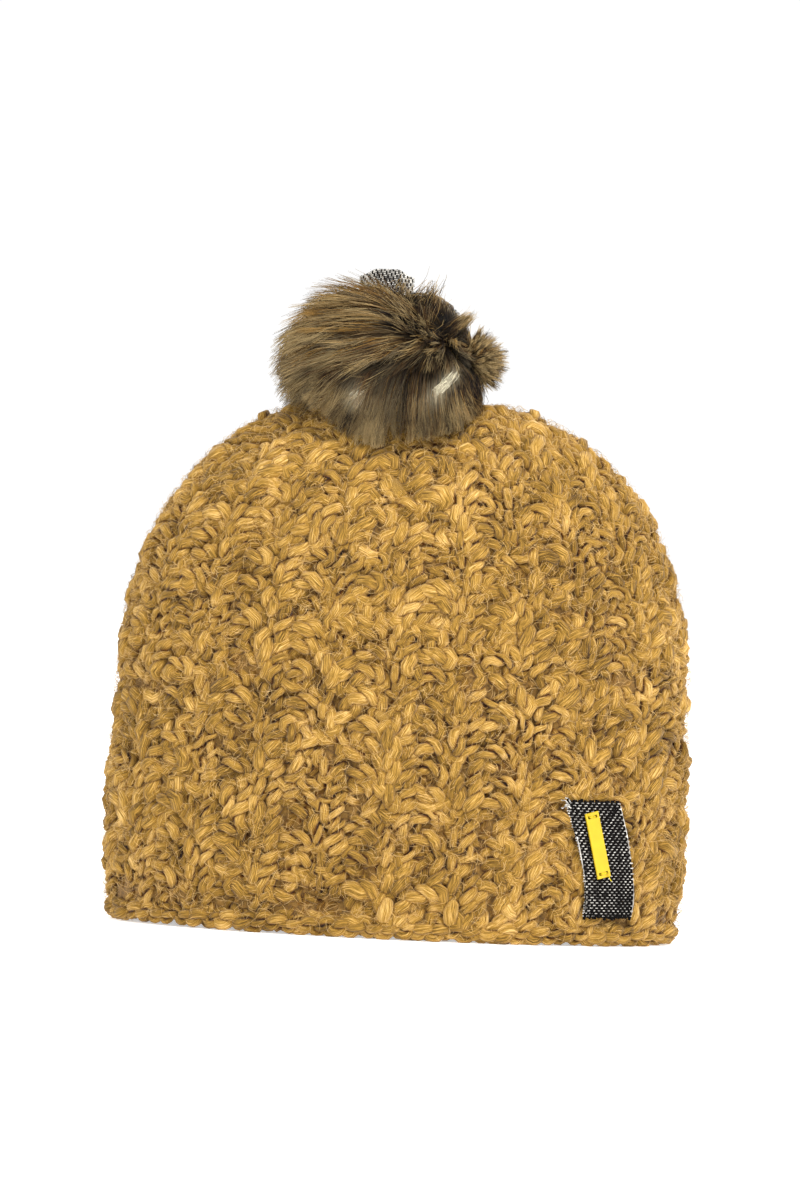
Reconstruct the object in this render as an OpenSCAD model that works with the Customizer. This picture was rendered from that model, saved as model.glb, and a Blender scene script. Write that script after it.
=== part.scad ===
// Chunky rib-knit beanie with a fur pom pom and a tweed tail.
// The hat stands on its brim: +Z is up, -Y is the front, and the origin is the centre of the brim's underside.

/* [Body] */
// Width of the side wall, left to right
body_w = 248; // [220:1:280]
// Depth of the side wall, front to back
body_d = 118; // [104:1:140]
// Height of the crown over the brim, at its two shoulders
body_h = 234; // [225:1:255]
// Height where the side wall starts to curve in
shoulder_z = 96; // [95:1:120]
// Roundness of the crown: 2 is an ellipse, more is fuller
crown_n = 2.35; // [2:0.05:2.8]
// Thickness of the knitted fabric
knit_t = 10; // [7:0.5:11]
// How far the gathered middle of the crown sits under its shoulders
notch_depth = 12; // [4:1:16]
// Half width of that gathered dip
notch_w = 28; // [18:1:36]

/* [Brim] */
// Height of the rolled cast-on edge
edge_h = 9; // [6:0.5:12]
// Height of the fleece ear band
band_h = 76; // [40:1:80]
// Thickness of the fleece ear band
band_t = 2.2; // [1.5:0.1:3]

/* [Pom pom] */
// Radius of the stuffed hide under the fur
hide_r = 22; // [18:0.5:22]
// Half width of the fur, left to right
pile_w = 48; // [36:1:50]
// Half height of the fur
pile_h = 31; // [26:1:34]
// Half depth of the fur
pile_d = 33; // [28:1:36]
// How far the fur hangs towards the front
pile_forward = 8; // [8:1:12]
// How far the fur is swept to the left
pile_left = 13; // [0:1:14]

/* [Tweed trim] */
// Width of the tweed strip that the tail and the patch are cut from
tweed_w = 23; // [16:1:24]
// Height of the tail over its stitches
tail_h = 69; // [50:1:76]
// Height of the patch
patch_h = 49; // [36:1:56]
// Length of the name tag
tag_l = 28.5; // [22:0.5:32]
// Width of the name tag
tag_w = 6.1; // [4.6:0.1:6.4]

/* [Hidden] */
$fn = 48;
around = 64;          // points in each ring of the body
wall_rows = 4;
dome_rows = 12;
gap = 0.4;            // air between two soft pieces that lie on each other
crown_hole_r = 5;     // the hole that the drawstring leaves
crown_z = body_h - notch_depth;
crown_under_z = crown_z - knit_t;

// the stuffed pom turns on the two rolls of its shank
nod_z = crown_z + 3;
nod_r = 3;
sway_z = nod_z + 3.5;
sway_r = 2.5;
disc_t = 1.5;
disc_r = 10.5;
disc_z = sway_z + sway_r + 0.3;
hide_t = 1.3;
hide_z = disc_z + disc_t + sqrt(hide_r * hide_r - disc_r * disc_r);

button_r = 11;
button_t = 3;
button_z = crown_under_z - 1 - button_t;
button_hole_r = 1.3;
button_hole_at = 2.6;
tie_r = 1.1;

patch_angle = -42.9;  // where the patch's foot is, around the body
patch_lean = -6.3;     // degrees around the body that the patch's top leans
patch_z = 13;
patch_t = 1.5;
tag_angle = -48.2;
tag_z = 43.8;
tag_t = 0.9;
tag_turn = 15;
tag_hole = 1.2;

tail_x = -15;
tail_y = 29;
tail_layer = 1.1;
tail_gap = 0.6;
tail_t = 2 * tail_layer + tail_gap;
tail_z = body_h - 16.2;

label_w = 20;
label_l = 42;
label_t = 1.2;

knit_colour = "#b98a45";
edge_colour = "#ad7f3e";
fleece_colour = "#6d5130";
thread_colour = "#8a6535";
tweed_colour = "#2e2b2b";
tweed_thread_colour = "#d9d4cb";
tag_colour = "#f2d81c";
fur_colour = "#6b5535";
hide_colour = "#c9b493";
stuffing_colour = "#f1efe8";
button_colour = "#4a3320";

// ---- shapes that several pieces share ----

// the wall swells a little over the ear band
function flare(z) = z < shoulder_z ? 1 + 0.018 * sin(180 * z / shoulder_z) : 1;

// half width and half depth of the body, inset by t, at a share r of the full size
function half_x(t, r) = sqrt(pow((body_w / 2 - t) * r, 2) + crown_hole_r * crown_hole_r);
function half_y(t, r) = sqrt(pow((body_d / 2 - t) * r, 2) + crown_hole_r * crown_hole_r);

function wall_point(t, z, w) = [half_x(t, flare(z)) * cos(w), half_y(t, flare(z)) * sin(w), z];
function wall_ring(t, z) = [for (i = [0:around - 1]) wall_point(t, z, 360 * i / around)];

// the crown, from a = 0 at the shoulder to a = 90 at the drawstring hole
function dome_height(t, a, x) =
    body_h - t - shoulder_z - notch_depth * exp(-pow(x / notch_w, 2)) * pow(sin(a), 6);
function dome_point(t, a, w) =
    let (
        r = pow(cos(a), 2 / crown_n),
        x = half_x(t, r) * cos(w),
        y = half_y(t, r) * sin(w)
    )
    [x, y, shoulder_z + dome_height(t, a, x) * pow(sin(a), 2 / crown_n)];
function dome_ring(t, a) = [for (i = [0:around - 1]) dome_point(t, a, 360 * i / around)];

function body_rings(t, low) = concat(
    [for (k = [0:wall_rows - 1]) wall_ring(t, low + (shoulder_z - low) * k / wall_rows)],
    [for (k = [0:dome_rows]) dome_ring(t, 90 * k / dome_rows)]
);

function reversed(list) = [for (i = [len(list) - 1:-1:0]) list[i]];

// direction that the wall faces at an angle around the body
function facing(w) = atan2(sin(w) / (body_d / 2), cos(w) / (body_w / 2));

// a solid through rings of equal length: closed joins the last ring to the first, else the ends are capped
module loft(rings, closed = false) {
    n = len(rings[0]);
    last = len(rings) - 1;
    sides = [
        for (k = [0:closed ? last : last - 1], i = [0:n - 1])
        let (
            a = k * n + i,
            b = k * n + (i + 1) % n,
            c = ((k + 1) % (last + 1)) * n + (i + 1) % n,
            d = ((k + 1) % (last + 1)) * n + i
        )
        each [[a, c, b], [a, d, c]]
    ];
    caps = closed ? [] : [[for (i = [0:n - 1]) i], [for (i = [n - 1:-1:0]) last * n + i]];
    polyhedron(points = [for (r = rings) each r], faces = concat(sides, caps), convexity = 6);
}

// children lie on the wall: X along it, Y up, Z outwards
module on_wall(w, z, out) {
    translate(wall_point(-out, z, w)) rotate([0, 0, facing(w) + 90]) rotate([90, 0, 0]) children();
}

module thread_bar(length, r) {
    rotate([0, 90, 0]) cylinder(h = length, r = r, center = true, $fn = 16);
}

module ring(major, minor) {
    rotate_extrude() translate([major, 0]) circle(r = minor, $fn = 20);
}

// ---- the hat ----

module knit_body() {
    color(knit_colour)
        loft(concat(body_rings(0, edge_h), reversed(body_rings(knit_t, edge_h))), closed = true);
}

module cast_on_edge() {
    half_t = knit_t / 2 + 0.8;
    section = [
        for (a = [0:30:330])
        [knit_t / 2 - half_t * cos(a), min(edge_h, max(0, edge_h / 2 + 0.7 * edge_h * sin(a)))]
    ];
    color(edge_colour) loft([for (p = section) wall_ring(p[0], p[1])], closed = true);
}

module crown_drawstring() {
    color(edge_colour) translate([0, 0, crown_z + 2.3]) ring(crown_hole_r + 1.5, 1.2);
}

module ear_band() {
    t = knit_t + gap;
    low = edge_h + 1;
    rows = 5;
    color(fleece_colour) loft(concat(
        [for (k = [0:rows]) wall_ring(t, low + band_h * k / rows)],
        [for (k = [rows:-1:0]) wall_ring(t + band_t, low + band_h * k / rows)]
    ), closed = true);
}

module ear_band_stitches() {
    count = 36;
    color(thread_colour) for (i = [0:count - 1])
        on_wall(360 * (i + 0.5) / count, edge_h + band_h - 3, -(knit_t + gap + band_t + 1))
            thread_bar(5, 0.45);
}

module care_label() {
    x = -(body_w / 2 - knit_t - gap - band_t - 3);
    color("white") translate([x, 0, edge_h + band_h - 8 - label_l]) difference() {
        translate([0, -label_w / 2, 0]) cube([label_t, label_w, label_l]);
        translate([label_t / 3, -label_w / 2 - 1, label_t / 2]) cube([label_t / 3, label_w + 2, label_l]);
    }
}

module tweed_patch() {
    across = 6;
    rows = 8;
    turn = tweed_w / 96 * 180 / PI;
    rings = [
        for (k = [0:rows])
        let (
            up = k / rows,
            middle = patch_angle + patch_lean * up * up,
            z = patch_z + patch_h * up
        )
        concat(
            [for (i = [0:across]) wall_point(-gap - patch_t, z, middle + turn * (i / across - 0.5))],
            [for (i = [across:-1:0]) wall_point(-gap, z, middle + turn * (i / across - 0.5))]
        )
    ];
    color(tweed_colour) loft(rings);
}

module patch_stitches() {
    out = gap + patch_t + 0.5;
    spots = [
        [patch_angle - 5.2, patch_z + 3, 60], [patch_angle + 5.2, patch_z + 3, -60],
        [patch_angle + patch_lean - 4.6, patch_z + patch_h - 3.5, -60],
        [patch_angle + patch_lean + 5.2, patch_z + patch_h - 3.5, 60]
    ];
    color(tweed_thread_colour) for (s = spots)
        on_wall(s[0], s[1], out) rotate([0, 0, s[2]]) thread_bar(4, 0.35);
}

module at_tag() {
    on_wall(tag_angle, tag_z, gap + patch_t + 0.45) rotate([0, 0, tag_turn]) children();
}

module name_tag() {
    color(tag_colour) at_tag() difference() {
        translate([-tag_w / 2, -tag_l / 2, 0]) cube([tag_w, tag_l, tag_t]);
        for (x = [-1, 1], y = [-1, 1])
            translate([x * tag_w / 4 - tag_hole / 2, y * (tag_l / 2 - 1.9) - tag_hole / 2, -1])
                cube([tag_hole, tag_hole, tag_t + 2]);
    }
}

module tag_threads() {
    r = 0.3;
    color(tag_colour) at_tag() for (y = [-1, 1]) translate([0, y * (tag_l / 2 - 1.9), 0]) {
        translate([0, 0, tag_t + r + 0.1]) thread_bar(tag_w / 2 + 2 * r, r);
        for (x = [-1, 1]) translate([x * tag_w / 4, 0, 0.05]) cylinder(h = tag_t + r, r = r, $fn = 16);
    }
}

module anchor_button() {
    color(button_colour) translate([0, 0, button_z]) difference() {
        rotate_extrude() polygon([
            [0, 0.8], [button_r - 2.5, 0.8], [button_r - 2, 0], [button_r - 0.6, 0],
            [button_r, 0.7], [button_r, button_t - 0.8], [button_r - 0.8, button_t], [0, button_t]
        ]);
        for (x = [-1, 1], y = [-1, 1])
            translate([x * button_hole_at, y * button_hole_at, -1])
                cylinder(h = button_t + 2, r = button_hole_r);
    }
}

module button_tie() {
    top = nod_z - nod_r - 0.3;
    low = button_z - tie_r;
    color(edge_colour) for (y = [-1, 1]) translate([0, y * button_hole_at, 0]) {
        for (x = [-1, 1]) translate([x * button_hole_at, 0, low]) cylinder(h = top - low, r = tie_r);
        translate([0, 0, low]) thread_bar(2 * button_hole_at + 2 * tie_r, tie_r);
    }
}

// ---- the shank: a yarn neck wound into two short rolls, one across the other ----

module pom_shank() {
    color(edge_colour) {
        translate([0, 0, nod_z]) rotate([0, 90, 0]) cylinder(h = 2 * nod_r, r = nod_r, center = true);
        translate([0, 0, sway_z]) rotate([90, 0, 0]) cylinder(h = 2 * sway_r, r = sway_r, center = true);
    }
}

// ---- the pom pom ----

module pom_base_disc() {
    color(hide_colour) translate([0, 0, disc_z]) cylinder(h = disc_t, r = disc_r);
}

module pom_gather_thread() {
    color(thread_colour) translate([0, 0, disc_z + disc_t / 2]) ring(disc_r + 1.1, 0.5);
}

module fur_hide() {
    color(hide_colour) translate([0, 0, hide_z]) difference() {
        sphere(r = hide_r);
        sphere(r = hide_r - hide_t);
        translate([0, 0, disc_z + disc_t - hide_z - hide_r]) cylinder(h = hide_r, r = hide_r);
    }
}

module pom_stuffing() {
    color(stuffing_colour) translate([0, 0, hide_z]) difference() {
        sphere(r = hide_r - hide_t - 0.2);
        translate([0, 0, disc_z + disc_t + 0.2 - hide_z - hide_r]) cylinder(h = hide_r, r = hide_r);
    }
}

// the outer shape of the fur, clear of the crown that it lies over
module fur_pile() {
    rings = [
        for (a = [-85:10:85])
        [
            for (i = [0:35])
            [
                pile_w * cos(a) * cos(10 * i) - pile_left,
                pile_d * cos(a) * sin(10 * i) - pile_forward,
                pile_h * sin(a) + hide_z - 1
            ]
        ]
    ];
    color(fur_colour) difference() {
        loft(rings);
        translate([0, 0, hide_z]) sphere(r = hide_r + 0.2, $fn = 32);
        translate([0, 0, crown_z - 4]) cylinder(h = hide_z - crown_z, r = disc_r + 2.5, $fn = 32);
        loft(body_rings(-0.6, edge_h));
    }
}

// ---- the tweed tail: a strip folded over at its top, rolled and sewn at its foot behind the pom pom ----

module tweed_tail() {
    color(tweed_colour) translate([tail_x + tweed_w / 2, tail_y, tail_z]) rotate([0, -90, 0])
        linear_extrude(height = tweed_w) difference() {
            union() {
                translate([tail_t / 2, 0]) square([tail_h - tail_t, tail_t]);
                for (x = [tail_t / 2, tail_h - tail_t / 2])
                    translate([x, tail_t / 2]) circle(r = tail_t / 2);
            }
            translate([6, tail_layer]) square([tail_h - tail_t / 2 - 6, tail_gap]);
            translate([tail_h - tail_t / 2, tail_t / 2]) circle(r = tail_gap / 2);
        }
}

module tail_stitches() {
    color(tweed_thread_colour) for (i = [0:4], side = [0, 1])
        translate([tail_x + (i - 2) * 3.6, tail_y + side * tail_t + (side - 0.5) * 1, tail_z + 4])
            thread_bar(2.4, 0.4);
}

knit_body();
cast_on_edge();
crown_drawstring();
ear_band();
ear_band_stitches();
care_label();
tweed_patch();
patch_stitches();
name_tag();
tag_threads();
anchor_button();
button_tie();
pom_shank();
pom_base_disc();
pom_gather_thread();
fur_hide();
fur_pile();
pom_stuffing();
tweed_tail();
tail_stitches();
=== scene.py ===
import bpy
import math
import numpy as np
from mathutils import Matrix, Vector


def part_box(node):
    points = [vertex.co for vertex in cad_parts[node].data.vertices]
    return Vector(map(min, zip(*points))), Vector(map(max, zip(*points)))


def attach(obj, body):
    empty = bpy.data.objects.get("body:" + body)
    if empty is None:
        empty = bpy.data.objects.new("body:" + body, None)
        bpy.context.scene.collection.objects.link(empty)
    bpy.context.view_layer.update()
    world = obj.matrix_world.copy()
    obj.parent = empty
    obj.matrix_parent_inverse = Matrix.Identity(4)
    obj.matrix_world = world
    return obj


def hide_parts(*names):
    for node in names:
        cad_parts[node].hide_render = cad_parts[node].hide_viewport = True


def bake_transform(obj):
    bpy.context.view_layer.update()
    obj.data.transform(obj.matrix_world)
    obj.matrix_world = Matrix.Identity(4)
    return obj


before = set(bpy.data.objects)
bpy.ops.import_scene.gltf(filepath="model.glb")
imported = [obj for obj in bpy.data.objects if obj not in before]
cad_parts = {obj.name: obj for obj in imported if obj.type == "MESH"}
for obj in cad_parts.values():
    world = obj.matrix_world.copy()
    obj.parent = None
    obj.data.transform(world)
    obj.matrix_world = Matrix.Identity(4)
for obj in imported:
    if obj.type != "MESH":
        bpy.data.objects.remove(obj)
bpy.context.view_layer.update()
mm = 0.001
mostTriangles = 190000       # in one piece


def softNoise(rng, length, points, closed=False):
    # one smooth random value per point, -1 to 1, that changes over about `length` points
    knots = max(4, int(round(points / max(length, 1))))
    values = rng.uniform(-1, 1, knots)
    at = np.arange(points) / points * knots
    low = np.floor(at).astype(int)
    part = at - low
    part = part * part * (3 - 2 * part)
    if closed:
        return values[low % knots] * (1 - part) + values[(low + 1) % knots] * part
    return values[np.minimum(low, knots - 1)] * (1 - part) + values[np.minimum(low + 1, knots - 1)] * part


def unit(vectors):
    return vectors / np.maximum(np.linalg.norm(vectors, axis=-1, keepdims=True), 1e-12)


def smooth01(value):
    value = np.clip(value, 0, 1)
    return value * value * (3 - 2 * value)


hat = {
    "width": 0.248,
    "depth": 0.118,
    "height": 0.234,
    "shoulder": 0.096,      # where the side wall starts to curve in
    "roundness": 2.35,
    "hole": 0.005,
    "dip": 0.012,           # how far the middle of the crown sinks
    "dipWidth": 0.028,
    "swell": 0.018,         # over the ear band
}


def runLengths(points):
    # length along a line at each of its points
    return np.concatenate([[0], np.cumsum(np.linalg.norm(np.diff(points, axis=0), axis=1))])


def crownShare(up):
    return np.cos(np.clip(up - 1, 0, 1) * math.pi / 2) ** (2 / hat["roundness"])


def hatPoint(angle, up, inset=0.0):
    # angle in radians, 0 at the hat's left side and -pi/2 at the front
    # up is 0 at the brim, 1 at the shoulder and 2 at the drawstring
    wall = np.clip(up, -0.2, 1) * hat["shoulder"]
    bend = np.clip(up - 1, 0, 1) * math.pi / 2
    share = crownShare(up) * (1 + hat["swell"] * np.sin(np.pi * np.clip(wall, 0, 1) / hat["shoulder"]))
    x = np.hypot((hat["width"] / 2 - inset) * share, hat["hole"]) * np.cos(angle)
    y = np.hypot((hat["depth"] / 2 - inset) * share, hat["hole"]) * np.sin(angle)
    sunk = hat["dip"] * np.exp(-(x / hat["dipWidth"]) ** 2) * np.sin(bend) ** 6
    rise = hat["height"] - inset - hat["shoulder"] - sunk
    z = wall + rise * np.sin(bend) ** (2 / hat["roundness"])
    return np.stack([x, y, z], axis=-1)


def hatNormal(angle, up):
    step = 2e-3
    across = hatPoint(angle + step, up) - hatPoint(angle - step, up)
    high = np.minimum(up + step, 1.995)
    along = hatPoint(angle, high) - hatPoint(angle, high - 2 * step)
    return unit(np.cross(across, along))


ringAngles = np.linspace(-math.pi / 2, 1.5 * math.pi, 1441)
ringPoints = hatPoint(ringAngles, np.ones_like(ringAngles))
ringShares = runLengths(ringPoints) / runLengths(ringPoints)[-1]

upSteps = np.linspace(0, 2, 801)
frontLengths, sideLengths = [runLengths(hatPoint(np.full(801, w), upSteps)) for w in (-math.pi / 2, 0.0)]
upLengths = 0.6 * frontLengths + 0.4 * sideLengths


def ringAngle(share):
    # share of the way round the hat by length, 0 in the middle of the front
    return np.interp(np.mod(share, 1), ringShares, ringAngles)


def upAt(height):
    # height along the fabric from the brim
    return np.interp(height, upLengths, upSteps)


def ringLength(up):
    points = hatPoint(ringAngles, np.full_like(ringAngles, up))
    return float(np.linalg.norm(np.diff(points, axis=0), axis=1).sum())


def outsideHat(points, margin):
    # moves points that are inside the hat straight out of its front, back or top
    z = points[:, 2]
    table = hatPoint(np.zeros(400), np.linspace(0, 2, 400))
    share = np.interp(z, table[:, 2], np.abs(table[:, 0]) / (hat["width"] / 2))
    halfX = hat["width"] / 2 * share + margin
    halfY = hat["depth"] / 2 * share + margin
    room = np.sqrt(np.clip(1 - (points[:, 0] / halfX) ** 2, 0, 1)) * halfY
    side = np.where(points[:, 1] < 4 * mm, -1.0, 1.0)
    inside = (z < 0.232) & (np.abs(points[:, 1]) < room)
    moved = points.copy()
    moved[inside, 1] = (side * room)[inside]
    return moved


def addMesh(name, points, faces, material, body, uv=None, tints=None, smooth=True):
    mesh = bpy.data.meshes.new(name)
    points = np.ascontiguousarray(points, dtype=np.float32)
    faces = np.ascontiguousarray(faces, dtype=np.int32)
    mesh.vertices.add(len(points))
    mesh.vertices.foreach_set("co", points.ravel())
    mesh.loops.add(faces.size)
    mesh.loops.foreach_set("vertex_index", faces.ravel())
    mesh.polygons.add(len(faces))
    mesh.polygons.foreach_set("loop_start", np.arange(0, faces.size, faces.shape[1], dtype=np.int32))
    if uv is not None:
        layer = mesh.uv_layers.new(name="fibreUv")
        layer.data.foreach_set("uv", np.ascontiguousarray(uv, dtype=np.float32).ravel())
    for tintName, tint in (tints or {}).items():
        kind = "FLOAT" if tint.ndim == 1 else "FLOAT_COLOR"
        layer = mesh.attributes.new(tintName, kind, "POINT")
        channel = "value" if tint.ndim == 1 else "color"
        layer.data.foreach_set(channel, np.ascontiguousarray(tint, dtype=np.float32).ravel())
    mesh.update(calc_edges=True)
    mesh.validate()
    mesh.polygons.foreach_set("use_smooth", np.full(len(mesh.polygons), smooth))
    mesh.materials.append(material)
    piece = bpy.data.objects.new(name, mesh)
    bpy.context.scene.collection.objects.link(piece)
    if body:
        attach(piece, body)
    return piece


def standFor(node):
    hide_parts(node)


def closedTube(centre, side, up, radius, sides):
    # a tube along a closed line; side and up are its frame at each point
    count = len(centre)
    turn = np.arange(sides) / sides * 2 * math.pi
    spoke = np.cos(turn)[None, :, None] * side[:, None, :] + np.sin(turn)[None, :, None] * up[:, None, :]
    points = centre[:, None, :] + radius[:, None, None] * spoke
    k = np.arange(count)[:, None]
    s = np.arange(sides)[None, :]
    following = (k + 1) % count
    beside = (s + 1) % sides
    faces = np.stack([k * sides + s, k * sides + beside, following * sides + beside, following * sides + s], axis=-1)
    return points.reshape(-1, 3), faces.reshape(-1, 4)


def tubeUv(lengths, total, radius, sides):
    # millimetres along and around the tube, for each corner of its faces
    count = len(lengths)
    ahead = np.append(lengths[1:], total)
    around = np.arange(sides + 1) / sides * 2 * math.pi * radius
    u0 = np.repeat(lengths[:, None], sides, 1)
    u1 = np.repeat(ahead[:, None], sides, 1)
    v0 = np.repeat(around[None, :-1], count, 0)
    v1 = np.repeat(around[None, 1:], count, 0)
    corners = np.stack([np.stack(pair, -1) for pair in ((u0, v0), (u0, v1), (u1, v1), (u1, v0))], axis=2)
    return corners.reshape(-1, 2) / mm


def manyTubes(paths, radii, sides):
    # open tubes, one for each row of paths; every end is closed
    count, rings = paths.shape[:2]
    along = unit(np.gradient(paths, axis=1))
    start = np.zeros((count, 3))
    start[np.arange(count), np.argmin(np.abs(along[:, 0]), axis=1)] = 1
    side = np.empty_like(paths)
    side[:, 0] = unit(np.cross(along[:, 0], start))
    for k in range(1, rings):
        kept = side[:, k - 1] - (side[:, k - 1] * along[:, k]).sum(-1, keepdims=True) * along[:, k]
        side[:, k] = unit(kept)
    up = np.cross(along, side)
    turn = np.arange(sides) / sides * 2 * math.pi
    turn = turn[None, None, :, None]
    spoke = np.cos(turn) * side[:, :, None] + np.sin(turn) * up[:, :, None]
    points = (paths[:, :, None] + radii[:, :, None, None] * spoke).reshape(-1, 3)
    base = (np.arange(count) * rings * sides)[:, None, None]
    k = np.arange(rings - 1)[None, :, None] * sides
    s = np.arange(sides)[None, None, :]
    a, b = base + k + s, base + k + (s + 1) % sides
    walls = np.concatenate([
        np.stack([a, b, b + sides], -1).reshape(-1, 3),
        np.stack([a, b + sides, a + sides], -1).reshape(-1, 3),
    ])
    base = base[:, 0, 0]
    last = base + (rings - 1) * sides
    caps = []
    for i in range(1, sides - 1):
        caps.append(np.stack([base, base + i + 1, base + i], -1))
        caps.append(np.stack([last, last + i, last + i + 1], -1))
    return points, np.concatenate([walls] + caps)


def fromHex(text):
    parts = [int(text[i:i + 2], 16) / 255 for i in (1, 3, 5)]
    return [c / 12.92 if c <= 0.04045 else ((c + 0.055) / 1.055) ** 2.4 for c in parts] + [1.0]


class Nodes:
    # short calls for a material's nodes
    def __init__(self, name, roughness=0.8, **settings):
        self.material = bpy.data.materials.new(name)
        self.material.use_nodes = True
        self.tree = self.material.node_tree
        self.shader = self.tree.nodes["Principled BSDF"]
        self.shader.inputs["Roughness"].default_value = roughness
        for key, value in settings.items():
            self.shader.inputs[key.replace("_", " ")].default_value = value

    def add(self, kind, inputs=None, **options):
        node = self.tree.nodes.new("ShaderNode" + kind)
        for key, value in options.items():
            setattr(node, key, value)
        for key, value in (inputs or {}).items():
            if isinstance(value, bpy.types.NodeSocket):
                self.tree.links.new(value, node.inputs[key])
            else:
                node.inputs[key].default_value = value
        return node

    def place(self):
        return self.add("TexCoord").outputs["Object"]

    def stretched(self, source, scale):
        return self.add("Mapping", {"Vector": source, "Scale": scale}).outputs["Vector"]

    def noise(self, vector, scale, detail=2.0, rough=0.5):
        inputs = {"Vector": vector, "Scale": scale, "Detail": detail, "Roughness": rough}
        return self.add("TexNoise", inputs).outputs["Fac"]

    def ramp(self, value, stops):
        node = self.add("ValToRGB", {"Fac": value})
        while len(node.color_ramp.elements) < len(stops):
            node.color_ramp.elements.new(0.5)
        for element, (place, colour) in zip(node.color_ramp.elements, stops):
            element.position = place
            element.color = fromHex(colour) if isinstance(colour, str) else (colour, colour, colour, 1)
        return node.outputs["Color"]

    def mix(self, share, first, second, how="MIX"):
        node = self.add("Mix", data_type="RGBA", blend_type=how)
        for index, value in ((0, share), (6, first), (7, second)):
            if isinstance(value, bpy.types.NodeSocket):
                self.tree.links.new(value, node.inputs[index])
            else:
                node.inputs[index].default_value = value
        return node.outputs[2]

    def sums(self, how, first, second):
        return self.add("Math", {0: first, 1: second}, operation=how).outputs[0]

    def tint(self, name, output="Fac"):
        return self.add("Attribute", attribute_name=name).outputs[output]

    def colour(self, socket):
        self.tree.links.new(socket, self.shader.inputs["Base Color"])

    def bump(self, height, strength, distance):
        node = self.add("Bump", {"Height": height, "Strength": strength, "Distance": distance})
        self.tree.links.new(node.outputs["Normal"], self.shader.inputs["Normal"])


def woolMaterial(name, dark, middle, light):
    m = Nodes(name, roughness=0.85, Sheen_Weight=0.10, Sheen_Roughness=0.5, Specular_IOR_Level=0.15)
    uv = m.add("UVMap", uv_map="fibreUv").outputs["UV"]
    place = m.place()
    strands = m.noise(m.stretched(uv, (0.30, 2.6, 1)), 1.0, 5, 0.75)
    patches = m.noise(place, 60, 3)
    value = m.sums("ADD", m.sums("MULTIPLY", strands, 0.66), m.sums("MULTIPLY", patches, 0.15))
    value = m.sums("ADD", value, m.sums("MULTIPLY", m.tint("slub"), 0.10))
    yarn = m.ramp(value, [(0.375, dark), (0.485, middle), (0.59, light)])
    # painted shade: the yarn colour is multiplied darker in the creases between plies and deep in the fabric
    creaseShade = m.ramp(m.tint("paintedShade"), [(0.0, "#2c1e06"), (0.40, "#8c6c33"), (0.85, "#ffffff")])
    m.colour(m.mix(1.0, yarn, creaseShade, "MULTIPLY"))
    m.bump(strands, 0.7, 0.0007)
    return m.material


def threadMaterial(name, dark, light, scale=900, shine=0.25):
    m = Nodes(name, roughness=0.8, Specular_IOR_Level=shine)
    place = m.place()
    twist = m.noise(m.stretched(place, (1, 1, 0.4)), scale, 2)
    m.colour(m.ramp(twist, [(0.3, dark), (0.7, light)]))
    m.bump(twist, 0.5, 0.0002)
    return m.material


patch = {
    "foot": math.radians(-42.9),     # where its foot is, round the hat
    "lean": math.radians(-5.2),      # how far its head is turned back
    "low": 0.013,
    "tall": 0.049,
    "wide": 0.023,
    "turn": 0.023 / 0.096,           # its width as an angle round the hat
    "cornerFray": [                  # loose threads at its head: start and reach, across and up
        ((0.0006, 0.0475), (-0.0035, -0.0010)),
        ((0.0010, 0.0462), (-0.0042, 0.0006)),
        ((0.0004, 0.0480), (-0.0030, 0.0022)),
        ((0.0012, 0.0488), (-0.0022, 0.0025)),
    ],
}


def patchAngle(z):
    rise = (z - patch["low"]) / patch["tall"]
    return patch["foot"] + patch["lean"] * np.clip(rise, 0, 1) ** 1.4


def underPatch(angle, z):
    off = np.mod(angle - patchAngle(z) + math.pi, 2 * math.pi) - math.pi
    above = z > patch["low"] - 1 * mm
    below = z < patch["low"] + patch["tall"] + 1 * mm
    return (np.abs(off) < patch["turn"] / 2 + 0.012) & above & below


knit = {
    "stitches": 42,          # round the brim
    "row": 0.0098,           # height of a row
    "firstRow": 0.0150,
    "loop": 0.0170,          # height of a loop, foot to head
    "neck": 0.0034,          # how far a loop's legs lean in at its foot
    "relief": 0.0023,        # how far a leg stands in front of a head
    "middle": 0.0056,        # depth of the yarn's middle under the hat's surface
    "ply": 0.00218,          # radius of one ply
    "pair": 0.00185,         # from the yarn's middle to a ply's middle
    "twist": 0.0122,         # one turn of the two plies
    "slub": 0.44,            # how far the plies swell and thin
    "wander": 0.0019,        # how far the yarn strays
    "steps": 28,             # points along one stitch
    "sides": 9,
}


def stitchesInRow(up):
    # the crown is gathered in by decreases
    length = ringLength(up)
    for count, least in ((knit["stitches"], 0.0095), (28, 0.0092), (18, 0.0085), (12, 0.008)):
        if length / count >= least:
            return count
    return 8


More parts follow.
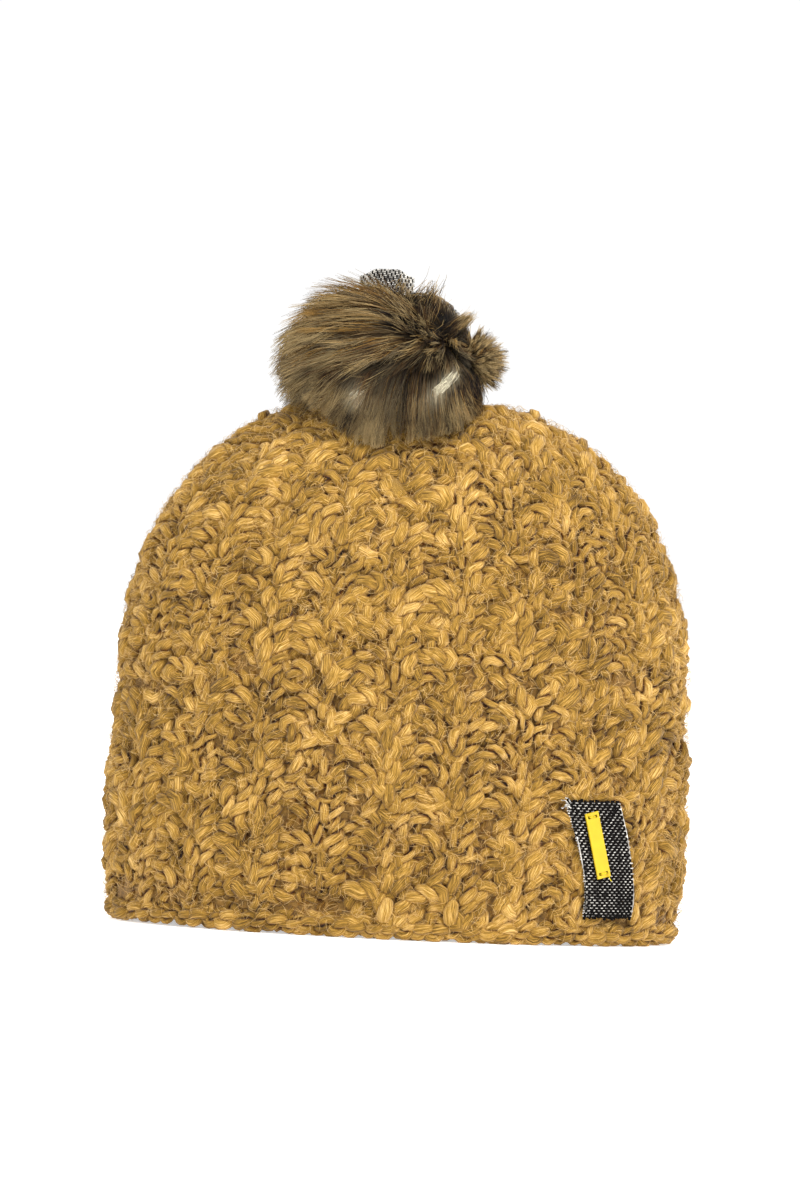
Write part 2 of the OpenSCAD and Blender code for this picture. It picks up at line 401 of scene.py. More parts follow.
def plies(centre, normal, rng, size=1.0):
    # two twisted plies along a closed line, each as points, faces, uv, a random tone along the yarn and a painted shade
    # that darkens the crease between the two plies
    ahead = np.roll(centre, -1, axis=0) - np.roll(centre, 1, axis=0)
    along = unit(ahead)
    out = unit(normal - (normal * along).sum(-1, keepdims=True) * along)
    across = np.cross(along, out)
    steps = np.linalg.norm(np.roll(centre, -1, axis=0) - centre, axis=1)
    lengths = np.concatenate([[0], np.cumsum(steps)[:-1]])
    total = float(steps.sum())
    turns = max(1, int(round(total / knit["twist"] / size)))
    drift = softNoise(rng, 40, len(centre), True) * 1.3
    phase = lengths / total * turns * 2 * math.pi + rng.uniform(0, 6.28) + drift
    sides = np.arange(knit["sides"]) / knit["sides"] * 2 * math.pi
    thick = 1 + 0.30 * softNoise(rng, 48, len(centre), True)
    made = []
    for ply in (0, 1):
        angle = phase + ply * math.pi
        spoke = np.cos(angle)[:, None] * out + np.sin(angle)[:, None] * across
        lumps = 0.6 * softNoise(rng, 6, len(centre), True) + 0.5 * softNoise(rng, 22, len(centre), True)
        swell = thick * (1 + knit["slub"] * lumps)
        middle = centre + size * knit["pair"] * (0.7 + 0.3 * swell)[:, None] * spoke
        way = unit(np.roll(middle, -1, axis=0) - np.roll(middle, 1, axis=0))
        first = unit(out - (out * way).sum(-1, keepdims=True) * way)
        second = np.cross(way, first)
        points, faces = closedTube(middle, first, second, size * knit["ply"] * swell, knit["sides"])
        uv = tubeUv(lengths + rng.uniform(0, 4), total, size * knit["ply"], knit["sides"])
        drifts = 0.55 * softNoise(rng, 9, len(centre), True) + 0.45 * softNoise(rng, 120, len(centre), True)
        shade = 0.5 + 0.5 * drifts
        face = np.cos(sides)[None, :, None] * first[:, None] + np.sin(sides)[None, :, None] * second[:, None]
        # painted shade: a ply is darker where its surface faces the other ply, in the crease between them
        paintedShade = 0.10 + 0.90 * smooth01(0.64 + 0.62 * (face * spoke[:, None]).sum(-1))
        made.append((points, faces, uv, np.repeat(shade, knit["sides"]), paintedShade.ravel()))
    return made


def knitRow(rng, height):
    up = float(upAt(height))
    count = stitchesInRow(up)
    length = ringLength(up)
    width = length / count
    steps = knit["steps"]
    index = np.arange(count * steps)
    t = index / steps * 2 * math.pi
    stitch = index // steps
    squeeze = min(1.0, width / 0.0135)
    purl = stitch % 2 == 1
    turned = rng.uniform(0, 1, count) < 0.06
    strength = rng.uniform(0.70, 1.15, count)
    facing = (np.where(purl, -0.85, 1.0) * np.where(turned, -0.8, 1.0)[stitch]) * strength[stitch]
    stray = knit["wander"] * np.where(purl, 1.4, 0.80)
    neck = knit["neck"] * squeeze * (1 + 0.45 * softNoise(rng, steps, len(index), True))
    loop = knit["loop"] * (1 + 0.20 * softNoise(rng, steps, len(index), True))
    wave = softNoise(rng, steps * 4, len(index), True)
    sideways = neck * np.sin(2 * t) + stray * softNoise(rng, 7, len(index), True)
    share = (index / steps) / count + sideways / length
    climb = height - loop / 2 * np.cos(t) + stray * softNoise(rng, 7, len(index), True)
    climb = climb + knit["wander"] * 0.8 * wave
    profile = -np.cos(2 * t) + np.cos(t / 2 % math.pi) ** 6
    relief = knit["relief"] * (1 + 0.35 * softNoise(rng, steps, len(index), True))
    depth = facing * relief * profile + 0.8 * stray * softNoise(rng, 8, len(index), True)
    depth = depth + np.where(purl, 0.0005, -0.0002)
    angle = ringAngle(share - 0.5 / count)
    level = upAt(np.maximum(climb, 0.003))
    normal = hatNormal(angle, level)
    surface = hatPoint(angle, level)
    centre = surface + normal * (depth - knit["middle"])[:, None]
    made = []
    for points, faces, uv, shade, paintedShade in plies(centre, normal, rng):
        points, proud = pressedFlat(points, surface, normal, angle)
        # painted shade: yarn near the fabric's middle depth, recessed from both faces, is darkened
        outOfRecess = smooth01((np.abs(proud + knit["middle"]) - 0.0002) / 0.0036)
        made.append((points, faces, uv, shade, paintedShade * (0.40 + 0.60 * outOfRecess.ravel())))
    return made


def pressedFlat(points, surface, normal, angle):
    # the yarn lies flat under the patch and against the ear band
    rings = points.reshape(len(surface), -1, 3)
    proud = ((rings - surface[:, None]) * normal[:, None]).sum(-1)
    under = underPatch(angle, surface[:, 2])[:, None]
    target = np.where(under, np.minimum(proud, -0.2 * mm), np.minimum(proud, 1.6 * mm))
    low = (surface[:, 2] < 0.090)[:, None]
    target = np.where(low, np.maximum(target, -9.8 * mm), target)
    return (rings + (target - proud)[..., None] * normal[:, None]).reshape(-1, 3), target


def joined(parts):
    offsets = np.concatenate([[0], np.cumsum([len(p[0]) for p in parts])[:-1]])
    faces = np.concatenate([p[1] + offset for p, offset in zip(parts, offsets)])
    points, uv, shade, paintedShade = [np.concatenate([p[i] for p in parts]) for i in (0, 2, 3, 4)]
    return points, faces, uv, {"slub": shade, "paintedShade": paintedShade}


def knitBody():
    rng = np.random.default_rng(11)
    wool = woolMaterial("mustardWool", "#49330c", "#a37c31", "#e6c07c")
    top = float(np.interp(1.93, upSteps, upLengths))
    heights = np.arange(knit["firstRow"], top, knit["row"])
    rows = [knitRow(rng, height) for height in heights]
    pieces, group, faceCount = [], [], 0
    for row in rows:
        rowFaces = sum(len(part[1]) for part in row)
        if group and (faceCount + rowFaces) * 2 > mostTriangles:
            pieces.append(group)
            group, faceCount = [], 0
        group += row
        faceCount += rowFaces
    pieces.append(group)
    made = []
    for number, parts in enumerate(pieces):
        points, faces, uv, tints = joined(parts)
        piece = addMesh(f"knitYarn{number + 1}", points, faces, wool, "hat", uv, tints)
        standFor("knit_body")
        made.append(piece)
    print("knit:", len(rows), "rows in", len(made), "pieces")
    return made


knitPieces = knitBody()


def closedLoft(rings):
    # rings of equal length, each closed, joined to each other and the last to the first
    count, each = rings.shape[:2]
    k = np.arange(count)[:, None]
    i = np.arange(each)[None, :]
    here, ahead = k * each, (k + 1) % count * each
    beside = (i + 1) % each
    faces = np.stack([here + i, here + beside, ahead + beside, ahead + i], -1)
    return rings.reshape(-1, 3), faces.reshape(-1, 4)[:, ::-1]


def shellRings(outer, inner, low, high, rows, around=160):
    # a thin wall that follows the hat, from low to high along the fabric
    angle = np.linspace(0, 2 * math.pi, around, endpoint=False)
    ups = upAt(np.linspace(low, high, rows))
    outside = np.stack([hatPoint(angle, np.full(around, u), outer) for u in ups])
    inside = np.stack([hatPoint(angle, np.full(around, u), inner) for u in ups[::-1]])
    return np.concatenate([outside, inside])


def knitGround():
    # the felted middle of the fabric, which closes the gaps between the loops
    m = Nodes("woolGround", roughness=0.95, Sheen_Weight=0.2)
    place = m.place()
    felt = m.noise(place, 420, 5, 0.7)
    m.colour(m.ramp(felt, [(0.35, "#4a3310"), (0.62, "#8a662a")]))
    m.bump(felt, 0.8, 0.0006)
    points, faces = closedLoft(shellRings(0.0046, 0.0060, 0.006, float(upLengths[-1]) - 0.004, 90))
    ground = addMesh("knitGround", points, faces, m.material, "hat")
    standFor("knit_body")


def brimEdge():
    # the cast-on: two yarns that wind round each other along the brim
    rng = np.random.default_rng(23)
    count = knit["stitches"] * 26
    share = np.arange(count) / count
    parts = []
    for strand in (0, 1):
        turn = share * knit["stitches"] * math.pi * 2 + strand * math.pi + 0.5 * softNoise(rng, 40, count, True)
        angle = ringAngle(share)
        level = np.full(count, 0.0)
        normal = hatNormal(angle, level + 0.02)
        surface = hatPoint(angle, level)
        centre = surface - normal * (0.0052 - 0.0023 * np.cos(turn))[:, None]
        centre[:, 2] = 0.0053 + 0.0021 * np.sin(turn) + 0.0005 * softNoise(rng, 20, count, True)
        for points, faces, uv, shade, paintedShade in plies(centre, normal, rng, 0.86):
            points[:, 2] = np.maximum(points[:, 2], 0.1 * mm)
            parts.append((points, faces, uv, shade, paintedShade))
    points, faces, uv, tints = joined(parts)
    edge = addMesh("brimEdge", points, faces, bpy.data.materials["mustardWool"], "hat", uv, tints)
    standFor("cast_on_edge")


def crownDrawstring():
    rng = np.random.default_rng(29)
    turn = np.linspace(0, 2 * math.pi, 90, endpoint=False)
    height = np.full(90, 0.2243) + 0.0004 * np.sin(turn * 5)
    centre = np.stack([0.0068 * np.cos(turn), 0.0068 * np.sin(turn), height], -1)
    normal = np.stack([np.cos(turn), np.sin(turn), np.zeros(90)], -1)
    points, faces, uv, tints = joined(plies(centre, normal, rng, 0.36))
    ring = addMesh("crownDrawstring", points, faces, bpy.data.materials["mustardWool"], "hat", uv, tints)
    standFor("crown_drawstring")


fuzz = {
    # name: how many, how high they stand, dark and light colour
    "paleFibres": (21000, 0.0007, "#b08a4c", "#dcbb80"),
    "deepFibres": (9000, 0.0005, "#5e4418", "#8a682c"),
}


def looseFibres():
    # wool hairs that stand off the yarn, mostly lying along the fabric
    rng = np.random.default_rng(17)
    for name, (count, high, dark, light) in fuzz.items():
        material = threadMaterial(name[:-1], dark, light, 300)
        height = rng.uniform(0.003, float(upLengths[-1]) - 0.012, count * 2)
        around = np.array([ringLength(u) for u in np.linspace(0, 2, 41)])
        room = np.interp(upAt(height), np.linspace(0, 2, 41), around) / around.max()
        height = height[rng.uniform(0, 1, count * 2) < room][:count]
        count = len(height)
        angle = ringAngle(rng.uniform(0, 1, count))
        level = upAt(height)
        normal = hatNormal(angle, np.maximum(level, 0.01))
        sideways = unit(np.cross(normal, [0, 0, 1.0]) + 1e-6)
        upwards = np.cross(sideways, normal)
        heading = rng.uniform(0, 2 * math.pi, count)
        bend = rng.normal(0, 1.1, count)
        reach = rng.uniform(0.003, 0.009, count)
        s = np.linspace(0, 1, 5)
        turn = heading[:, None] + bend[:, None] * s[None]
        run = np.cumsum(np.stack([np.cos(turn), np.sin(turn)], -1), axis=1) * (reach / 5)[:, None, None]
        arch = 0.0024 + high * rng.uniform(0, 1, count) ** 2 * 2.2
        lift = -0.0026 + arch[:, None] * np.sin(s[None] * rng.uniform(1.2, 3.0, count)[:, None])
        base = hatPoint(angle, level)
        paths = base[:, None] + run[..., :1] * sideways[:, None] + run[..., 1:] * upwards[:, None]
        paths = paths + lift[..., None] * normal[:, None]
        keep = ~underPatch(angle, base[:, 2]) & (paths[..., 2].min(1) > 0.0006)
        paths = paths[keep]
        radii = 0.00008 * rng.uniform(0.7, 1.3, (len(paths), 1)) * (1 - 0.55 * s[None] ** 2)
        each = mostTriangles // 26      # 26 triangles in a fibre
        for number, first in enumerate(range(0, len(paths), each)):
            points, faces = manyTubes(paths[first:first + each], radii[first:first + each], 3)
            piece = addMesh(f"{name}{number + 1}", points, faces, material, "hat")


looseFibres()
brimEdge()
knitGround()
crownDrawstring()
print("brim, ground and drawstring: done")


tweed = {
    "pitch": 0.00112,        # from one thread to the next
    "dark": 0.00060,         # radius of a dark thread
    "light": 0.00029,        # radius of a light thread
    "lift": 0.00030,         # how far a thread rises over the one that it crosses
    "sink": 0.32,            # how much deeper the light threads lie, as a share of that
    "frayLow": 0.0012,       # longest loose end at the foot and head
    "fraySide": 0.0006,      # longest loose end at the sides
}


def tweedMaterials():
    dark = threadMaterial("tweedDark", "#030303", "#110e0d", 1400, 0.08)
    light = threadMaterial("tweedLight", "#2c2a28", "#e4e0d8", 560)
    ground = threadMaterial("tweedGround", "#020202", "#080707", 1400, 0.08)
    return dark, light, ground


tweedDark, tweedLight, tweedGround = tweedMaterials()


def weave(name, surface, wide, tall, rule, body, rng, steps=4, sides=6, cloth=tweed):
    # dark threads along the strip and light ones across it; rule says which is on top at a crossing
    pitch = cloth["pitch"]
    columns, rows = int(wide / pitch), int(tall / pitch)
    over = np.array([[1.0 if rule(i, j) else -1.0 for j in range(rows)] for i in range(columns)])

    def heights(crossings, count):
        at = np.linspace(-0.5, count - 0.5, count * steps + 1)
        low = np.clip(np.floor(at).astype(int), 0, count - 1)
        high = np.clip(low + 1, 0, count - 1)
        part = smooth01(at - np.floor(at))
        return at, crossings[:, low] * (1 - part) + crossings[:, high] * part

    made = []
    for kind, crossings, count, others, radius, material in (
        ("Warp", over, rows, columns, cloth["dark"], tweedDark),
        ("Weft", -over.T, columns, rows, cloth["light"], tweedLight),
    ):
        at, height = heights(crossings, count)
        lengthWise = (at + 0.5) / count * (tall if kind == "Warp" else wide)
        beside = (np.arange(others) + 0.5) * (wide if kind == "Warp" else tall) / others
        run = np.repeat(lengthWise[None, :], others, 0)
        fray = cloth["frayLow"] if kind == "Warp" else cloth["fraySide"]
        run[:, 0] -= rng.uniform(0, fray, others)
        run[:, -1] += rng.uniform(0, fray, others)
        stray = np.stack([softNoise(rng, steps * 6, len(at)) for _ in range(others)]) * 0.00008
        side = np.repeat(beside[:, None], len(at), 1) + stray
        lift = (height - (0 if kind == "Warp" else cloth["sink"])) * cloth["lift"]
        u, v = (side, run) if kind == "Warp" else (run, side)
        paths = surface(u.ravel(), v.ravel(), lift.ravel()).reshape(others, len(at), 3)
        radii = np.full(paths.shape[:2], radius) * (1 + 0.12 * rng.uniform(-1, 1, (others, 1)))
        points, faces = manyTubes(paths, radii, sides)
        piece = addMesh(name + kind, points, faces, material, body)
        made.append(piece)
    return made


def slab(name, surface, wide, tall, low, high, across, rows, material, body):
    # a closed strip of cloth between two heights over its surface
    u, v = np.meshgrid(np.linspace(0, wide, across + 1), np.linspace(0, tall, rows + 1))
    top = surface(u.ravel(), v.ravel(), np.full(u.size, high)).reshape(rows + 1, across + 1, 3)
    under = surface(u.ravel(), v.ravel(), np.full(u.size, low)).reshape(rows + 1, across + 1, 3)
    rings = np.concatenate([top, under[:, ::-1]], axis=1)
    each = rings.shape[1]
    k = np.arange(rows)[:, None] * each
    i = np.arange(each)[None, :]
    walls = np.stack([k + i, k + (i + 1) % each, k + each + (i + 1) % each, k + each + i], -1).reshape(-1, 4)
    ends = []
    for row, flip in ((0, True), (rows, False)):
        for c in range(across):
            quad = [row * each + c, row * each + c + 1, row * each + each - 2 - c, row * each + each - 1 - c]
            ends.append(quad[::-1] if flip else quad)
    return addMesh(name, rings.reshape(-1, 3), np.concatenate([walls, np.array(ends)]), material, body, smooth=False)


def patchSurface(u, v, lift):
    # u runs towards the side of the hat, v up the patch
    z = patch["low"] + v
    ripple = 0.0005 * np.sin(v / patch["tall"] * 9) + 0.0004 * np.sin(u / patch["wide"] * 5 + v * 90)
    pull = 0.0011 * np.sin(v / patch["tall"] * math.pi * 1.5)
    angle = patchAngle(z) + (u - patch["wide"] / 2 + pull) / 0.096
    level = upAt(z)
    normal = hatNormal(angle, np.maximum(level, 0.02))
    return hatPoint(angle, level) + normal * (0.00125 + ripple * 0.4 + lift)[:, None]


def tweedPatch():
    rng = np.random.default_rng(31)
    cloth = slab("patchCloth", patchSurface, patch["wide"], patch["tall"], -0.0007, -0.0001, 14, 30, tweedGround, "hat")
    plain = lambda i, j: (i + j) % 2 == 0
    threads = weave("patch", patchSurface, patch["wide"], patch["tall"], plain, "hat", rng)
    paths, radii = [], []
    for start, reach in patch["cornerFray"]:
        s = np.linspace(0, 1, 10)
        u = start[0] + reach[0] * s
        v = start[1] + reach[1] * s + 0.0006 * np.sin(s * 5)
        paths.append(patchSurface(u, v, 0.0008 + 0.0012 * s))
        radii.append(np.full(10, 0.00028) * (1 - 0.4 * s))
    for u, v0, v1 in ((0.0002, 0.002, 0.046), (0.0228, 0.001, 0.047)):
        s = np.linspace(0, 1, 10)
        lift = 0.0003 + 0.0003 * np.sin(s * 12)
        paths.append(patchSurface(u + 0.0003 * np.sin(s * 9), v0 + (v1 - v0) * s, lift))
        radii.append(np.full(10, 0.00027))
    points, faces = manyTubes(np.array(paths), np.array(radii), 6)
    fray = addMesh("patchFray", points, faces, tweedLight, "hat")
    standFor("tweed_patch")


def dressedNode(name, material):
    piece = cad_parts[name]
    for holder in piece.material_slots:
        holder.material = material


def tagThreads():
    # a stitch between the two holes at each end of the bar, and the ends that are left hanging
    yellow = threadMaterial("yellowThread", "#a08a08", "#e0c928", 1500)
    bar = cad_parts["name_tag"]
    corners = np.array([bar.matrix_world @ v.co for v in bar.data.vertices])
    middle = corners.mean(0)
    axes = np.linalg.svd(corners - middle)[2]
    upwards = axes[0] * np.sign(axes[0][2])
    out = axes[2] * -np.sign(axes[2][1])
    across = np.cross(upwards, out)
    half = np.abs((corners - middle) @ axes[0]).max()
    hole, rise = 0.00145, half - 0.0019
    paths = []
    for end in (-1, 1):
        at = middle + end * rise * upwards
        for shift in (-0.16 * mm, 0.16 * mm):
            s = np.linspace(-1, 1, 12)
            arch = np.where(np.abs(s) > 0.85, -0.0008, 0.00072)
            paths.append(at + (s * hole)[:, None] * across + shift * upwards + arch[:, None] * out)
    for end, lean, reach in ((-1, 0.35, 0.0042), (1, -0.5, 0.0020)):
        at = middle + end * rise * upwards + hole * across * -end
        s = np.linspace(0, 1, 12)[:, None]
        paths.append(
            at + (0.0007 + 0.0006 * np.sin(s * 4)) * out + end * s * reach * upwards + s * s * lean * reach * across
        )
    points, faces = manyTubes(np.array(paths), np.full((len(paths), 12), 0.00018), 6)
    threads = addMesh("tagThreads", points, faces, yellow, "hat")
    standFor("tag_threads")


def patchTrim():
    threadMaterial("offWhiteThread", "#8d887e", "#d8d4ca", 1500)
    dressedNode("patch_stitches", tweedDark)
    m = Nodes("yellowBar", roughness=0.38, Specular_IOR_Level=0.45)
    place = m.place()
    grain = m.noise(place, 800, 3)
    m.colour(m.ramp(m.noise(place, 130, 2), [(0.3, "#b59603"), (0.7, "#c2a408")]))
    m.bump(grain, 0.15, 0.0001)
    dressedNode("name_tag", m.material)
    tagThreads()


tail = {
    "middle": -0.015,
    "front": 0.0290,         # the front of the folded strip
    "foot": 0.2178,
    "tall": 0.069,
    "wide": 0.023,
    "fold": 0.0014,          # radius of the fold at the top
    "cloth": {               # a finer weave than the patch's, under the same names
        "pitch": 0.00075, "dark": 0.0003415, "light": 0.0002913, "lift": 0.0002009,
        "sink": -0.1, "frayLow": 0.0012, "fraySide": 0.0006,
    },
}


def tailSurface(u, v, lift):
    # v runs up the back, over the fold and down the front
    straight = tail["tall"] - tail["fold"]
    bend = math.pi * tail["fold"] * 0.6
    turn = np.clip((v - straight) / bend, 0, 1) * math.pi
    height = np.where(v < straight, v, np.where(v > straight + bend, 2 * straight + bend - v, straight))
    radius = tail["fold"] * 0.55 + lift
    y = tail["front"] + tail["fold"] + np.cos(turn) * radius
    z = tail["foot"] + height + np.sin(turn) * radius
    sag = 0.0035 * smooth01((np.abs(u / tail["wide"] - 0.5) - 0.18) / 0.32)
    slope = np.clip(height / tail["tall"], 0, 1)
    x = tail["middle"] - tail["wide"] / 2 + u
    y = y + 0.0011 * np.sin(u / tail["wide"] * 6.0) * slope
    return np.stack([x, y, z - sag * slope ** 4], axis=-1)


def tweedTail():
    rng = np.random.default_rng(37)
    whole = 2 * (tail["tall"] - tail["fold"]) + math.pi * tail["fold"] * 0.6
    cloth = slab("tailCloth", tailSurface, tail["wide"], whole, -0.0007, -0.0001, 10, 90, tweedGround, "tail")
    steepTwill = lambda i, j: (j - 2 * i) % 5 < 2
    threads = weave("tail", tailSurface, tail["wide"], whole, steepTwill, "tail", rng, 3, 5, tail["cloth"])
    standFor("tweed_tail")
    dressedNode("tail_stitches", bpy.data.materials["offWhiteThread"])


tweedPatch()
patchTrim()
tweedTail()
print("tweed: done")


def earBand():
    m = Nodes("brushedFleece", roughness=0.95, Sheen_Weight=0.5, Sheen_Roughness=0.5)
    place = m.place()
    pile = m.noise(place, 600, 5, 0.7)
    worn = m.sums("ADD", m.sums("MULTIPLY", pile, 0.6), m.sums("MULTIPLY", m.noise(place, 60, 2), 0.4))
    m.colour(m.ramp(worn, [(0.35, "#4a3620"), (0.65, "#86673f")]))
    m.bump(pile, 0.9, 0.0008)
    rings = shellRings(0.0104, 0.0124, 0.0105, 0.0855, 60, 420)
    rng = np.random.default_rng(41)
    inner = rings[60:]
    angle = np.linspace(0, 2 * math.pi, 420, endpoint=False)
    tufts = rng.uniform(-1, 1, inner.shape[:2])
    inward = -hatNormal(angle, np.full(420, 0.5))
    rings[60:] = inner + inward[None] * (0.00025 * tufts)[..., None]
    points, faces = closedLoft(rings)
    band = addMesh("earBandFleece", points, faces, m.material, "hat")
    standFor("ear_band")
    dressedNode("ear_band_stitches", threadMaterial("tanThread", "#7a5b2c", "#b58e4f", 1500))


def careLabel():
    # a blank woven ribbon, folded in half with its fold down
    m = Nodes("labelRibbon", roughness=0.6, Sheen_Weight=0.2)
    place = m.place()
    inputs = {"Vector": place, "Scale": 900.0, "Distortion": 0.4}
    weaveLines = m.add("TexWave", inputs, wave_type="BANDS", bands_direction="Z").outputs["Fac"]
    m.colour(m.ramp(weaveLines, [(0.3, "#d8d3c8"), (0.7, "#f4f1ea")]))
    m.bump(weaveLines, 0.3, 0.0001)
    low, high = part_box("care_label")
    tall, wide = high[2] - low[2], high[1] - low[1]
    whole = 2 * tall

    def surface(u, v, lift):
        half = tall - 0.0005
        turn = np.clip((v - half) / 0.001, 0, 1) * math.pi
        down = np.where(v < half, v, np.where(v > half + 0.001, 2 * half + 0.001 - v, half))
        belly = 0.0012 * np.sin(np.clip(down / half, 0, 1) * math.pi)
        x = (low[0] + high[0]) / 2 - np.cos(turn) * (0.0003 + belly + lift)
        return np.stack([x, low[1] + u, high[2] - down - np.sin(turn) * (0.0004 + lift)], axis=-1)

    label = slab("careLabel", surface, wide, whole, -0.00012, 0.00012, 8, 60, m.material, "hat")
    standFor("care_label")


def openYarn(name, lines, size, body, node, seed):
    # short lengths of two-ply yarn that start and end out of sight
    rng = np.random.default_rng(seed)
    paths, radii = [], []
    for line in lines:
        line = np.array(line, dtype=float)
        at = np.linspace(0, len(line) - 1, 60)
        centre = np.stack([np.interp(at, np.arange(len(line)), line[:, a]) for a in range(3)], -1)
        for _ in range(3):
            centre[1:-1] = (centre[:-2] + 2 * centre[1:-1] + centre[2:]) / 4
        along = unit(np.gradient(centre, axis=0))
        across = unit(np.cross(along, [0.31, 0.93, 0.17]))
        other = np.cross(along, across)
        length = runLengths(centre)
        for ply in (0, 1):
            turn = (length / (knit["twist"] * size) * 2 * math.pi + ply * math.pi)[:, None]
            paths.append(centre + size * knit["pair"] * (np.cos(turn) * across + np.sin(turn) * other))
            radii.append(size * knit["ply"] * (1 + 0.15 * softNoise(rng, 8, 60)))
    points, faces = manyTubes(np.array(paths), np.array(radii), 8)
    made = addMesh(name, points, faces, threadMaterial(name + "Wool", "#8f6429", "#d3a55c", 700), body)
    standFor(node)


def buttonAndTie():
    m = Nodes("hornButton", roughness=0.3, Coat_Weight=0.3, Coat_Roughness=0.2)
    place = m.place()
    streaks = m.noise(m.stretched(place, (60, 260, 120)), 1.0, 4, 0.6)
    m.colour(m.ramp(streaks, [(0.3, "#2a190d"), (0.55, "#5a3b22"), (0.75, "#8c6a45")]))
    m.bump(streaks, 0.15, 0.0002)
    dressedNode("anchor_button", m.material)
    low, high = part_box("button_tie")
    at, top = 0.0026, high[2]
    bend, foot = low[2] + 0.0016, low[2] + 0.0008
    shape = [(-at, top), (-at, bend), (-at * 0.6, foot), (at * 0.6, foot), (at, bend), (at, top)]
    lines = [[(x, y, z) for x, z in shape] for y in (-at, at)]
    openYarn("buttonTie", lines, 0.27, "hat", "button_tie", 43)


earBand()
careLabel()
buttonAndTie()
print("inside: done")


fur = {
    "parting": (0.0140, -0.0200, 0.2610),
    "thick": 0.00013,            # radius of a hair at its root
    "hide": 0.022,               # radius of the ball that the hair grows from
    "rings": 6,                  # points along a hair
    "sides": 3,
    "push": 0.0060,              # a hair that the hat would push further than this is left out
    "coatBlend": (0.214, 0.246),     # heights over which the coat goes from shank to pom pom
    "fringeBlend": (0.211, 0.243),   # heights over which the fringe goes from hat to shank
}

# where each kind's wisp numbers start, which pick their colours; "coat" is the step from one coat to the next
firstWisp = {"coat": 3000, "cover": 6200, "lobe": 7000, "tuft": 8000, "fringe": 8100, "pale": 8800, "end": 9000}

# the coat: a big lobe combed to the left, and the part right of the parting and under it
furCoats = [
    {
        "hairs": 28500, "wisps": 4600, "clumps": 420, "sweep": 50, "from": -1.1,
        "middle": (-0.0210, -0.0090, 0.2455), "reach": (0.0378, 0.0330, 0.0350),
    },
    {
        "hairs": 8500, "wisps": 2000, "clumps": 160, "sweep": 40, "from": -0.30,
        "middle": (0.0085, -0.0080, 0.2390), "reach": (0.0215, 0.0290, 0.0245),
    },
]

# smaller tufts: middle, reach, which way they point and hairs
furLobes = [
    ((0.0200, -0.0090, 0.2455), (0.0155, 0.0150, 0.0150), (0.92, -0.25, 0.30), 4200),
]


def hideMiddle():
    return np.array([0, 0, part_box("fur_hide")[1][2] - fur["hide"]])


def bezier(a, b, c, d, rings):
    s = np.linspace(0, 1, rings)[None, :, None]
    a, b, c, d = (q[:, None, :] for q in (a, b, c, d))
    return a * (1 - s) ** 3 + 3 * b * s * (1 - s) ** 2 + 3 * c * s * s * (1 - s) + d * s ** 3


def spreadOnSphere(rng, count):
    k = np.arange(count) + 0.5
    z = 1 - 2 * k / count
    turn = k * math.pi * (1 + 5 ** 0.5)
    flat = np.sqrt(1 - z * z)
    points = np.stack([flat * np.cos(turn), flat * np.sin(turn), z], -1)
    return unit(points + rng.normal(0, 0.02, points.shape))


def combedHair(rng, coat, number):
    middle, reach = np.array(coat["middle"]), np.array(coat["reach"])
    centre = hideMiddle()
    parting = unit((np.array(fur["parting"]) - middle) / reach)
    wisps = spreadOnSphere(rng, coat["wisps"])
    wisps = wisps[(wisps[:, 2] > -0.88) & (wisps[:, 0] > coat["from"])]
    clumps = spreadOnSphere(rng, coat["clumps"])
    clump = np.argmax(wisps @ clumps.T, axis=1)      # each wisp belongs to the nearest clump
    wisps = unit(0.62 * wisps + 0.38 * clumps[clump])
    own = rng.integers(0, len(wisps), coat["hairs"])
    start = unit(wisps[own] + rng.normal(0, 0.022, (len(own), 3)))
    swing = (rng.normal(0, 0.055, (len(clumps), 3))[clump] + rng.normal(0, 0.055, (len(wisps), 3)))[own]
    perClump = (1 + 0.055 * rng.normal(0, 1, len(clumps)))[clump]
    wispLong = (perClump * (1 + 0.10 * rng.normal(0, 1, len(wisps))))[own]

    angle = np.arccos(np.clip(start @ parting, -1, 1))
    away = unit(-(parting - (start @ parting)[:, None] * start))
    # the hair droops more, the further it is from the parting
    low = np.array([0, 0, -1.0]) - (start @ np.array([0, 0, -1.0]))[:, None] * start
    away = unit(away + (0.75 * smooth01((angle - 0.5) / 1.0) * smooth01((0.35 - start[:, 2]) / 0.7))[:, None] * low)
    sweep = math.radians(coat["sweep"]) * smooth01(angle / math.radians(42)) + math.radians(6)
    sweep = np.minimum(sweep, (math.pi - angle) * 0.7) * (1 + 0.10 * rng.normal(0, 1, len(wisps)))[own]

    def turned(part):
        bend = (sweep * part)[:, None]
        return unit(start * np.cos(bend) + away * np.sin(bend))

    length = np.clip(wispLong * (1 + 0.05 * rng.normal(0, 1, len(own))), 0.74, 1.17)
    bushy = (rng.uniform(0.86, 1.0, len(wisps))[own]) * rng.uniform(0.97, 1.0, len(own))
    root = centre + fur["hide"] * 0.97 * unit(middle + reach * start - centre)
    second = middle + reach * turned(0.12) * (0.80 * bushy)[:, None]
    third = middle + reach * turned(0.55) * (0.97 * bushy)[:, None]
    tip = middle + reach * unit(turned(1.0) + swing + rng.normal(0, 0.009, root.shape)) * (length * bushy)[:, None]
    return root, second, third, tip, own + number * firstWisp["coat"]


